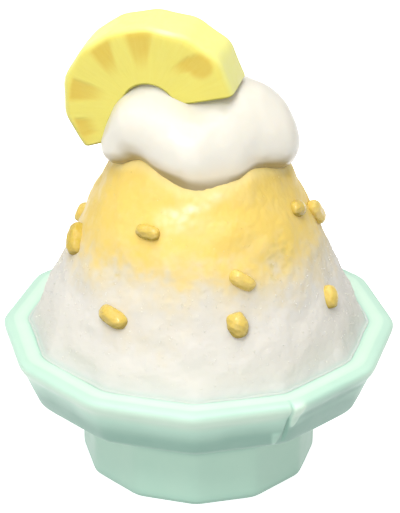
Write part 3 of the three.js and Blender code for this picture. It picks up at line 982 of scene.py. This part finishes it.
def ice_gap(points):
    """How far each point stands off the ice's plain slope, in millimetres."""
    slope = np.array(ICE_SLOPE)
    flat = np.column_stack([np.hypot(points[:, 0], points[:, 1]), points[:, 2]]) / MM
    gap = np.full(len(points), np.inf)
    for start, end in zip(slope, slope[1:]):
        run = end - start
        share = np.clip((flat - start) @ run / (run @ run), 0.0, 1.0)[:, None]
        gap = np.minimum(gap, np.linalg.norm(flat - start - share * run, axis=1))
    return np.where(flat[:, 0] > np.interp(flat[:, 1], *slope[:, ::-1].T), gap, -gap)


def cream_material(settings):
    material, tree, shader = new_material(
        "soft_cream", Roughness=0.34, Subsurface_Weight=0.3, Subsurface_Scale=5 * MM,
        Subsurface_Radius=(1.0, 0.8, 0.55), Coat_Weight=0.3, Coat_Roughness=0.28, IOR=1.4)
    colour = mottled(tree, settings.colour, MOTTLED_CREAM, 14 * MM, 0.3)
    dress(tree, shader, tinted(tree, colour, CREAM_TINTS), drifting(tree, 12 * MM, 0.29, 0.35, 1.0))
    bump(tree, shader, grain(tree, 1.6 * MM, 0.7), 0.03 * MM, 0.4)
    return material


class DESSERT_OT_cream(bpy.types.Operator):
    """Makes the cap of soft cream that droops over the ice and holds the ring"""
    bl_idname = "dessert.cream"
    bl_label = "Build cream"

    def execute(self, context):
        settings = context.scene.dessert_cream
        ball = bmesh.new()
        bmesh.ops.create_icosphere(ball, subdivisions=7, radius=1.0)
        mesh = bpy.data.meshes.new("cream_cap")
        ball.to_mesh(mesh)
        ball.free()
        ways = corners_of(mesh)
        ways /= np.linalg.norm(ways, axis=1)[:, None]
        centre = np.array(CREAM_CENTRE) * MM
        lobes = cream_lobes(settings)
        reach = np.full(len(ways), CREAM_REACH * MM)
        moving = np.arange(len(ways))
        while len(moving):
            gap = cream_distance(centre + ways[moving] * reach[moving, None], lobes)
            reach[moving] -= gap
            moving = moving[gap > CREAM_CLOSE]
        points = centre + ways * reach[:, None]
        move_corners(mesh, points)
        normals = normals_of(mesh)
        soft = 0.25 * MM * bumps(points, 9 * MM, 31) + 0.1 * MM * bumps(points, 4 * MM, 32)
        move_corners(mesh, points + normals * soft[:, None])
        down = -normals_of(mesh)[:, 2]
        gap = ice_gap(points)
        close = np.clip(down - SHADE_TILT, 0.0, None) + SHADE_GROWTH * np.clip(SHADE_GAP - gap, 0.0, None)
        # Painted reflection of the syrup and painted shade in the cream's foot by the ice.
        paint(mesh, "low", 1 - smoothstep(3.0, 7.5, gap))
        paint(mesh, "under", smoothstep(-0.1, 1.1, close / SHADE_FULL) - smoothstep(-0.1, 1.1, 0.0))
        shade_smooth(mesh)
        hand_over(add_object("cream_cap", mesh), cream_material(settings), "cream", "cream_topping")
        return {"FINISHED"}


# ----------------------------------------------------------------- pineapple

RING_CORNERS = np.array([            # radius of each knife-cut corner, from its right end over the top
    34.8, 36.8, 35.7, 34.6, 34.5, 35.2, 36.1, 35.4, 34.0,
])
RING_INNER = 10.9
RING_THICKNESS = 20.5
RING_START = 15.2                    # degrees, from its right up over the top
RING_SWEEP = 199.6
RING_CUT_LEAD = 40.0                 # how much further its inside goes at the left end, which is cut askew
RING_FACE = (-19.0, -11.8, 157.7)
RING_YAW = 14.1
RING_LEAN = 4.2
RING_STATIONS = 300
RING_END_SHARE = 9.0                 # degrees kept free at each end for its rounding
RING_END_SHRINK = 9.4
RING_BLUNTING = 4.5                  # degrees to each side over which a knife-cut corner is softened
RING_GROWTH = 0.35                   # what the softened corners lose, given back all round
STRAND_RADIUS = 20.0                 # where the fibres are laid out, so that they all run outwards
RIND_RELIEF = 0.2
WEDGE_DEPTH = 0.25
# Ripe wedges: turn, radius and half width in degrees of the outer end, then of the inner.
WEDGES = [
    (126.6, 32.4, 9.6, 133.5, 18.0, 6.5), (96.0, 33.2, 10.2, 97.0, 16.5, 7.0),
    (47.5, 30.5, 9.0, 60.0, 19.5, 4.5), (169.6, 32.6, 9.4, 165.5, 17.5, 7.0),
    (200.2, 31.8, 8.0, 202.0, 23.0, 7.5),
]
WEDGE_FADE = (0.62, 1.3)             # shares of its half width over which a wedge fades out
WEDGE_BLOB = (45.3, 29.8, 5.8)       # turn, radius and reach of one wedge's rounded outer end
EDGE_HIGHLIGHT = (77.5, 8.5)              # turn and reach in degrees of a painted highlight along the front edge
FIBRE_IN_FLESH = (0.81, 0.73, 0.16)
FIBRE_IN_WEDGE = (0.74, 0.56, 0.085)
MOTTLED_FLESH = (0.72, 0.64, 0.13)
# outside is painted paler as painted light; cut_end and under are painted shade on the cut ends and where the
# ring faces down; pale_edge is a painted highlight.
RING_TINTS = {
    "outside": (0.885, 0.855, 0.28), "cut_end": (0.66, 0.64, 0.035), "under": (0.38, 0.35, 0.045),
    "pale_edge": (0.94, 0.89, 0.44),
}


def rounded_rectangle(half_width, half_height, corners, per_side=26, per_corner=8):
    """Points round a rectangle whose corners are arcs of these radii, from its right side anticlockwise."""
    arc = np.linspace(0.0, math.pi / 2, per_corner)
    quarter = np.stack([np.cos(arc), np.sin(arc)], axis=1)
    loop = []
    for k, (x, y) in enumerate([(1, 1), (-1, 1), (-1, -1), (1, -1)]):
        turn = k * math.pi / 2
        spun = quarter @ np.array([[math.cos(turn), math.sin(turn)], [-math.sin(turn), math.cos(turn)]])
        loop.append(spun * corners[k] + (x * (half_width - corners[k]), y * (half_height - corners[k])))
    sides = []
    for k in range(4):
        start, end = loop[k][-1], loop[(k + 1) % 4][0]
        share = np.linspace(0.0, 1.0, per_side + 2)[1:-1, None]
        sides.append(np.vstack([loop[k], start + (end - start) * share]))
    return np.vstack(sides)


def ring_cut_radius(angle):
    """Radius of the straight knife cuts between the ring's corners, at angles in degrees."""
    step = RING_SWEEP / (len(RING_CORNERS) - 1)
    place = np.clip((angle - RING_START) / step, 0.0, len(RING_CORNERS) - 1 - 1e-6)
    before = place.astype(int)
    near, far = RING_CORNERS[before], RING_CORNERS[before + 1]
    past = np.radians((place - before) * step)
    left = math.radians(step) - past
    return near * far * math.sin(math.radians(step)) / (near * np.sin(past) + far * np.sin(left))


def ring_outer_radius(angle):
    """Radius of the ring's outside at an angle in degrees, with its corners a little soft."""
    return RING_GROWTH + ring_cut_radius(angle + np.linspace(-RING_BLUNTING, RING_BLUNTING, 9)).mean()


def on_circle(radius, angle):
    return radius * np.array((math.cos(math.radians(angle)), math.sin(math.radians(angle))))


def ring_loops(settings):
    """Loops of the half ring from its right end over the top to its left, in its own plane."""
    edge = settings.other_edges / MM
    edges = np.array([settings.front_edge / MM, edge, edge, edge])
    first = RING_START + RING_END_SHARE
    last = RING_START + RING_SWEEP - RING_END_SHARE
    stations = [(angle, 0.0, 0.0) for angle in np.linspace(first, last, RING_STATIONS)]
    rounding = [(edge * (1 - math.cos(a)), edge * (math.sin(a) - 1)) for a in np.linspace(0, math.pi / 2, 8)]
    shrink = [(edge + (RING_END_SHRINK - edge) * k / 9, 0.0) for k in range(1, 10)]
    cap = [*rounding, *shrink]
    ends = [(RING_START + RING_SWEEP, inset, beyond) for inset, beyond in cap]
    starts = [(RING_START, inset, beyond) for inset, beyond in reversed(cap)]
    loops = []
    for angle, inset, beyond in [*starts, *stations, *ends]:
        lead = RING_CUT_LEAD * smoothstep(RING_START + RING_SWEEP / 2, RING_START + RING_SWEEP, angle)
        outer = on_circle(ring_outer_radius(angle), angle)
        inner = on_circle(RING_INNER, angle + lead)
        width = np.linalg.norm(outer - inner)
        way = (outer - inner) / width
        half_height = RING_THICKNESS / 2 - inset
        section = rounded_rectangle(width / 2 - inset, half_height, np.maximum(0.05, edges - inset))
        side = np.array((-way[1], way[0])) * (1 if angle > 100 else -1)
        flat = (outer + inner) / 2 + way * section[:, :1] + side * beyond
        loops.append(np.column_stack([flat, section[:, 1] - RING_THICKNESS / 2]))
    return np.array(loops)


def wedge_share(points):
    """How much of each point lies in a ripe wedge, from points in the ring's own plane."""
    angle = np.degrees(np.arctan2(points[:, 1], points[:, 0])) % 360
    radius = np.hypot(points[:, 0], points[:, 1])
    share = np.zeros(len(points))
    for outer_turn, outer, outer_width, inner_turn, inner, inner_width in WEDGES:
        along = np.clip((radius - inner) / (outer - inner), 0.0, 1.0)
        off = np.abs(angle - (inner_turn + (outer_turn - inner_turn) * along))
        width = inner_width + (outer_width - inner_width) * along
        across = 1 - smoothstep(width * WEDGE_FADE[0], width * WEDGE_FADE[1], off)
        inside = smoothstep(inner - 1.0, inner + 0.62 * (outer - inner), radius)
        inside *= 1 - smoothstep(outer - 1.0, outer + 0.8, radius)
        share = np.maximum(share, across * inside)
    blob = np.hypot(*(points[:, :2] - on_circle(WEDGE_BLOB[1], WEDGE_BLOB[0])).T)
    return np.maximum(share, 1 - smoothstep(0.6 * WEDGE_BLOB[2], 1.15 * WEDGE_BLOB[2], blob))


def pineapple_material(settings):
    material, tree, shader = new_material(
        "pineapple_flesh", Roughness=0.4, Subsurface_Weight=0.3, Subsurface_Scale=5 * MM,
        Subsurface_Radius=(1.0, 0.85, 0.25), Coat_Weight=0.12, Coat_Roughness=0.28, IOR=1.36)
    fibre = spread(tree, painted(tree, "fibre"), 0.2, 1.0)
    pale = mix_colour(tree, fibre, settings.flesh, FIBRE_IN_FLESH)
    ripe = mix_colour(tree, fibre, settings.wedge, FIBRE_IN_WEDGE)
    colour = mix_colour(tree, painted(tree, "wedge"), pale, ripe)
    colour = tinted(tree, mottled(tree, colour, MOTTLED_FLESH, 7 * MM, 0.15), RING_TINTS)
    dress(tree, shader, colour, drifting(tree, 3 * MM, 0.36, 0.5))
    bump(tree, shader, grain(tree, 0.7 * MM, 0.4), 0.12 * MM, 0.5)
    return material


class DESSERT_OT_pineapple(bpy.types.Operator):
    """Makes the half pineapple ring with its fibres and ripe wedges"""
    bl_idname = "dessert.pineapple"
    bl_label = "Build pineapple"

    def execute(self, context):
        settings = context.scene.dessert_pineapple
        loops = ring_loops(settings)
        first, last = loops[0].mean(axis=0, keepdims=True), loops[-1].mean(axis=0, keepdims=True)
        piece = tube("pineapple_half_ring", loops * MM, first * MM, last * MM)
        points = corners_of(piece.data) / MM
        normals = normals_of(piece.data)
        angle = np.arctan2(points[:, 1], points[:, 0])
        radius = np.hypot(points[:, 0], points[:, 1])
        out = np.column_stack([np.cos(angle), np.sin(angle)])
        strands = np.column_stack([out * STRAND_RADIUS, radius * 0.07 + points[:, 2] * 0.05])
        fibre = 0.6 * bumps(strands, 0.75, 41) + 0.4 * bumps(strands, 0.33, 42)
        on_face = smoothstep(0.6, 0.95, np.abs(normals[:, 2]))
        outside = smoothstep(0.45, 0.97, (normals[:, :2] * out).sum(axis=1))
        relief = settings.fibre_depth / MM * fibre * (0.35 + 0.65 * on_face)
        relief += RIND_RELIEF * bumps(points, 9.0, 43) * outside
        wedge = wedge_share(points) * on_face
        relief -= WEDGE_DEPTH * wedge
        points += normals * relief[:, None]
        move_corners(piece.data, points * MM)
        paint(piece.data, "fibre", 0.5 + 0.5 * fibre)
        paint(piece.data, "wedge", wedge)
        # The outside is painted paler, as painted light from above.
        paint(piece.data, "outside", outside)
        # A painted highlight on the rounding of the front edge.
        edge = smoothstep(0.15, 0.45, normals[:, 2]) * (1 - smoothstep(0.6, 0.9, normals[:, 2]))
        edge *= np.exp(-((np.degrees(angle) - EDGE_HIGHLIGHT[0]) / EDGE_HIGHLIGHT[1]) ** 2)
        paint(piece.data, "pale_edge", edge)
        # Painted shade on the cut ends.
        along = np.abs(normals[:, 1] * out[:, 0] - normals[:, 0] * out[:, 1])
        paint(piece.data, "cut_end", smoothstep(0.25, 0.95, along))
        lean = Matrix.Rotation(math.radians(90.0 + RING_LEAN), 4, "X")
        yaw = Matrix.Rotation(-math.radians(RING_YAW), 4, "Z")
        piece.data.transform(Matrix.Translation(Vector(RING_FACE) * MM) @ yaw @ lean)
        # Painted shade where the ring faces down.
        paint(piece.data, "under", smoothstep(0.12, 0.5, -normals_of(piece.data)[:, 2]))
        hand_over(piece, pineapple_material(settings), "pineapple", "pineapple_ring")
        return {"FINISHED"}


# ---------------------------------------------------------------- fruit bits

# How much deeper gold each shown bit is painted, partly its own tone and partly painted shade, and how much
# painted shade lies on its underside.
BIT_LOOKS = {1: (0.75, 1.0), 2: (0.1, 0.6), 3: (0.45, 1.0), 4: (0.0, 0.45), 5: (0.3, 1.0),
             6: (0.4, 1.0), 7: (0.2, 1.0), 8: (0.35, 1.0), 9: (0.0, 0.15)}
HIDDEN_BIT_LOOK = (0.4, 1.0)
BIT_GROWTH = 1.04                    # gives back what the rounding takes off
MOTTLED_FRUIT = (0.72, 0.50, 0.09)


def bit_material(settings):
    material, tree, shader = new_material(
        "golden_fruit", Roughness=0.25, Subsurface_Weight=0.25, Subsurface_Scale=2.5 * MM,
        Subsurface_Radius=(1.0, 0.7, 0.2), Coat_Weight=0.25, Coat_Roughness=0.15, IOR=1.38)
    colour = mottled(tree, settings.colour, MOTTLED_FRUIT, 3 * MM, 0.35)
    colour = tinted(tree, colour, {"ripe": settings.ripe, "soaked": settings.soaked})
    dress(tree, shader, colour, drifting(tree, 2 * MM, 0.2, 0.36))
    bump(tree, shader, grain(tree, 0.6 * MM, 0.5), 0.08 * MM, 0.5)
    return material


class DESSERT_OT_bits(bpy.types.Operator):
    """Makes each golden fruit bit where its node lies"""
    bl_idname = "dessert.bits"
    bl_label = "Build fruit bits"

    def execute(self, context):
        settings = context.scene.dessert_bits
        material = bit_material(settings)
        for i, name in enumerate(BIT_NODES):
            shape = merged_copy(name)
            mesh = bpy.data.meshes.new(name + "_glossy")
            shape.to_mesh(mesh)
            shape.free()
            piece = add_object(name + "_glossy", mesh)
            bevel = piece.modifiers.new("edges", "BEVEL")
            bevel.width = settings.edge
            bevel.segments = 3
            bevel.limit_method = "NONE"
            modifier = piece.modifiers.new("round", "SUBSURF")
            modifier.levels = modifier.render_levels = 2
            smooth = finished_mesh(piece)
            piece.modifiers.clear()
            piece.data = smooth
            points = corners_of(smooth)
            middle = points.mean(axis=0)
            dents = bumps(points, 3.6 * MM, 51 + i) + 0.5 * bumps(points, 1.8 * MM, 71 + i)
            dents = normals_of(smooth) * (settings.unevenness * dents)[:, None]
            move_corners(smooth, middle + (points - middle) * BIT_GROWTH + dents)
            ripe, soaked = BIT_LOOKS.get(i + 1, HIDDEN_BIT_LOOK)
            # Deeper gold over the whole bit, partly painted shade, and painted shade on its underside.
            paint(smooth, "ripe", np.full(len(points), ripe))
            paint(smooth, "soaked", soaked * smoothstep(-0.66, 0.55, -normals_of(smooth)[:, 2]))
            shade_smooth(smooth)
            hand_over(piece, material, "fruit_bit", name)
        return {"FINISHED"}


# --------------------------------------------------------------------- stage

FLOOR_SIZE = 20.0
AIM_HEIGHT = 0.0892
AIM_RIGHT = 0.00065
LIGHTS_AIM = (0.0, 0.0, 0.09)
LIGHTS = {                           # place, size and colour of each round light, in metres
    "key": ((-0.17, -0.78, 1.05), 0.4, (1.0, 0.99, 0.97)),
    "fill": ((-0.2, -1.3, 0.45), 1.2, (1.0, 1.0, 1.0)),
    "side": ((-1.1, -0.4, 0.7), 0.8, (1.0, 1.0, 1.0)),
    "top": ((-0.05, 0.05, 1.5), 1.6, (1.0, 1.0, 1.0)),
}


class DESSERT_OT_stage(bpy.types.Operator):
    """Sets up the pale floor, the soft lights and the camera"""
    bl_idname = "dessert.stage"
    bl_label = "Set stage"

    def execute(self, context):
        settings = context.scene.dessert_stage
        scene = context.scene
        self.floor(settings)
        self.lights(scene, settings)
        self.camera(scene, settings)
        scene.view_settings.view_transform = "Standard"
        return {"FINISHED"}

    def floor(self, settings):
        mesh = bpy.data.meshes.new("floor")
        corners = np.array([(-1, -1, 0), (1, -1, 0), (1, 1, 0), (-1, 1, 0)]) * FLOOR_SIZE / 2
        mesh.from_pydata(corners.tolist(), [], [(0, 1, 2, 3)])
        material, _, shader = new_material("pale_floor", Roughness=0.9)
        shader.inputs["Base Color"].default_value = (0.93, 0.93, 0.93, 1.0)
        shader.inputs["Emission Color"].default_value = (1.0, 1.0, 1.0, 1.0)
        shader.inputs["Emission Strength"].default_value = settings.floor_glow
        mesh.materials.append(material)
        floor = add_object("floor", mesh)
        floor.visible_diffuse = False

    def lights(self, scene, settings):
        world = bpy.data.worlds.new("soft_sky")
        world.use_nodes = True
        sky = world.node_tree.nodes["Background"]
        sky.inputs["Color"].default_value = (1.0, 1.0, 1.0, 1.0)
        sky.inputs["Strength"].default_value = settings.sky
        scene.world = world
        for name, (place, size, colour) in LIGHTS.items():
            light = bpy.data.lights.new(name, "AREA")
            light.shape = "DISK"
            light.size = size
            light.energy = getattr(settings, name + "_power")
            light.color = colour
            lamp = add_object(name, light)
            lamp.location = place
            lamp.rotation_euler = (Vector(LIGHTS_AIM) - Vector(place)).to_track_quat("-Z", "Y").to_euler()

    def camera(self, scene, settings):
        data = bpy.data.cameras.new("camera")
        data.sensor_width = 36.0
        data.lens = settings.lens
        data.clip_start = 0.01
        camera = add_object("camera", data)
        flat = math.cos(settings.elevation)
        back = Vector((math.sin(settings.azimuth) * flat, -math.cos(settings.azimuth) * flat,
                       math.sin(settings.elevation)))
        right = Vector((math.cos(settings.azimuth), math.sin(settings.azimuth), 0.0))
        aim = right * AIM_RIGHT + Vector((0.0, 0.0, AIM_HEIGHT))
        camera.location = aim + back * settings.distance
        camera.rotation_euler = (-back).to_track_quat("-Z", "Y").to_euler()
        scene.camera = camera


# ------------------------------------------------------------- registration

class DESSERT_PT_panel(bpy.types.Panel):
    """Lists the steps that build the dessert"""
    bl_idname = "DESSERT_PT_panel"
    bl_label = "Shaved Ice Dessert"
    bl_space_type = "VIEW_3D"
    bl_region_type = "UI"
    bl_category = "Dessert"

    def draw(self, context):
        for operator in OPERATORS:
            self.layout.operator(operator.bl_idname)


SETTINGS = {
    "dessert_bowl": BowlSettings, "dessert_ice": IceSettings, "dessert_cream": CreamSettings,
    "dessert_pineapple": PineappleSettings, "dessert_bits": BitSettings, "dessert_stage": StageSettings,
}
OPERATORS = (
    DESSERT_OT_stage, DESSERT_OT_bowl, DESSERT_OT_ice, DESSERT_OT_flakes, DESSERT_OT_cream,
    DESSERT_OT_pineapple, DESSERT_OT_bits,
)


def register():
    for settings in SETTINGS.values():
        bpy.utils.register_class(settings)
    for name, settings in SETTINGS.items():
        setattr(bpy.types.Scene, name, bpy.props.PointerProperty(type=settings))
    for operator in OPERATORS:
        bpy.utils.register_class(operator)
    bpy.utils.register_class(DESSERT_PT_panel)


def unregister():
    bpy.utils.unregister_class(DESSERT_PT_panel)
    for operator in reversed(OPERATORS):
        bpy.utils.unregister_class(operator)
    for name in SETTINGS:
        delattr(bpy.types.Scene, name)
    for settings in reversed(SETTINGS.values()):
        bpy.utils.unregister_class(settings)


def main():
    register()
    bpy.ops.dessert.stage()
    bpy.ops.dessert.bowl()
    bpy.ops.dessert.ice()
    bpy.ops.dessert.flakes()
    bpy.ops.dessert.cream()
    bpy.ops.dessert.pineapple()
    bpy.ops.dessert.bits()


if __name__ == "__main__":
    main()
